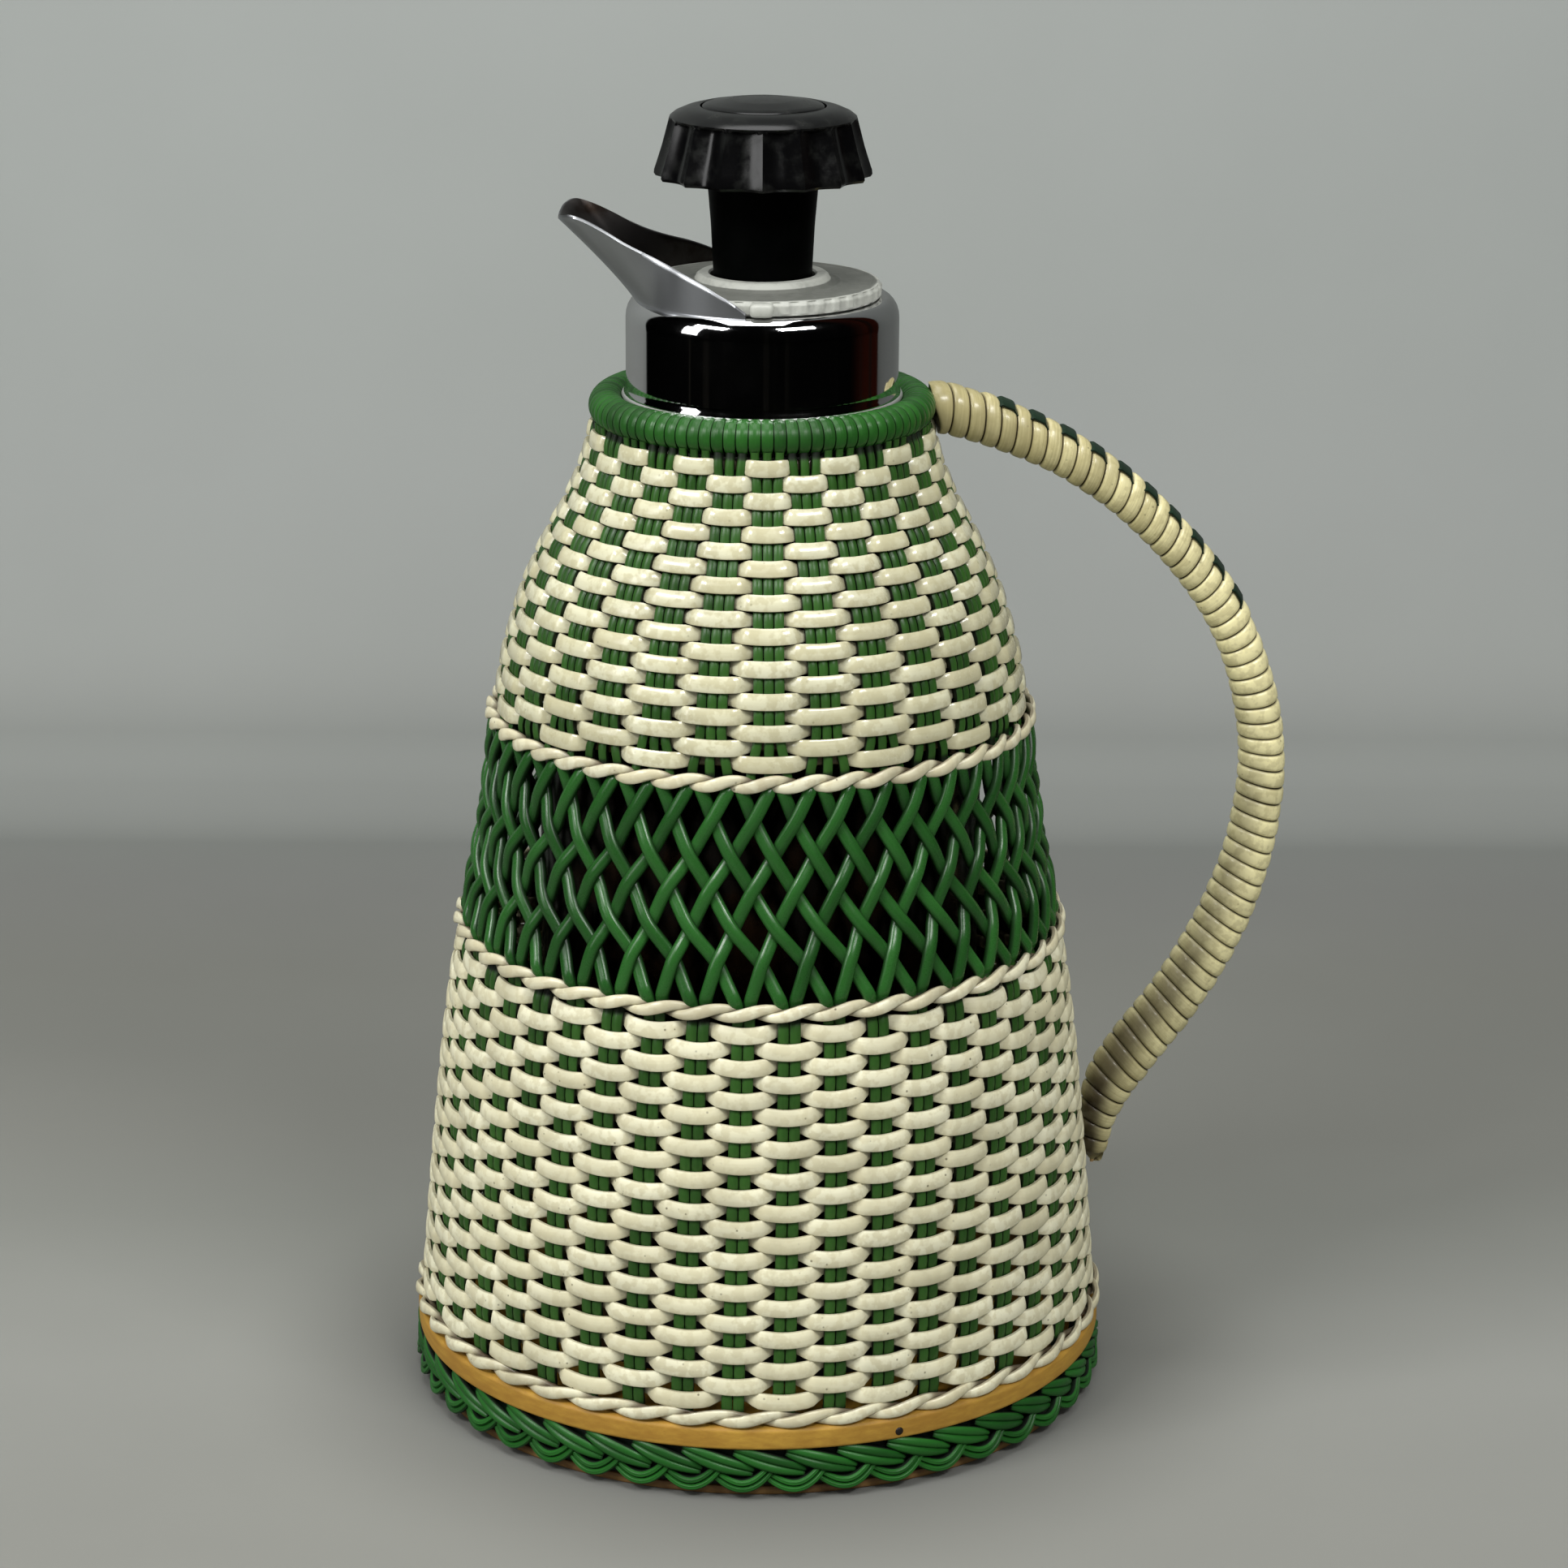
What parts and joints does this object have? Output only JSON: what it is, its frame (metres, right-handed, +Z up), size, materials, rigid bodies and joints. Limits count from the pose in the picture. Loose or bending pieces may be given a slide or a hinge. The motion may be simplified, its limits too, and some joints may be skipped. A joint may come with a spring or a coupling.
{
  "type": "vacuum jug",
  "caption": "Wide-footed vacuum jug in a woven basket with an open lattice band, side handle, duck-bill pouring collar and a knob on the stopper.",
  "frame": {"origin": "centre of the flat underside that the jug stands on", "axes": "+Z up along the jug's axis, -X towards the spout, the handle is 9 degrees from +X towards +Y"},
  "size_m": [0.2098, 0.1674, 0.3087],
  "materials": {
    "green_cord": "glossy flat-oval plastic cord",
    "cream_cord": "glossy flat plastic strip, a little soiled",
    "cream_tape": "glossy plastic tape, yellowed",
    "ply": "varnished thin plywood",
    "cane": "bare cane",
    "silvered_glass": "silvered glass",
    "chrome": "polished chrome plating",
    "dull_metal": "dull drawn metal",
    "steel": "plain steel",
    "iron": "dark nail head",
    "rubber": "matt rubber",
    "seal_rubber": "matt rubber",
    "pad": "pressed fibre pad",
    "white_plastic": "aged white plastic, satin",
    "black_plastic": "glossy black moulded plastic"
  },
  "bodies": {
    "jug": {"base_board": "ply", "bottom_plate": "ply", "foot_braid": "green_cord", "edge_nail": "iron", "plate_screw_1": "steel", "plate_screw_2": "steel", "plate_screw_3": "steel", "twine_bottom": "cream_cord", "lower_weave": "cream_cord", "twine_middle": "cream_cord", "lattice": "green_cord", "twine_upper": "cream_cord", "upper_weave": "cream_cord", "rim_hoop": "green_cord", "handle_core": "cane", "handle_binding": "cream_tape", "handle_leader": "green_cord", "flask_outer": "silvered_glass", "flask_inner": "silvered_glass", "flask_pad_1": "pad", "flask_pad_2": "pad", "flask_pad_3": "pad", "flask_seat": "rubber", "neck_gasket": "rubber", "neck_ring": "dull_metal", "collar": "chrome"},
    "stopper": {"stopper_disc": "white_plastic"},
    "valve": {"plug": "white_plastic", "plug_seal": "seal_rubber", "plug_screw": "steel"},
    "knob": {"spindle": "steel", "knob_stem": "black_plastic", "knob_cap": "black_plastic", "knob_insert": "black_plastic"}
  },
  "joints": [
    {"name": "stopper_lift", "type": "slide", "parent": "jug", "child": "stopper", "axis": [0, 0, 1], "range_m": [0, 0.06]},
    {"name": "valve_lift", "type": "slide", "parent": "stopper", "child": "valve", "axis": [0, 0, 1], "range_m": [0, 0.006]},
    {"name": "knob_turn", "type": "hinge", "parent": "valve", "child": "knob", "pos_m": [0, 0, 0.2625], "axis": [0, 0, 1], "range_deg": [0, 270]}
  ],
  "couplings": [
    {"joint": "valve_lift", "follows": "knob_turn", "m_per_rad": 0.0012732}
  ]
}
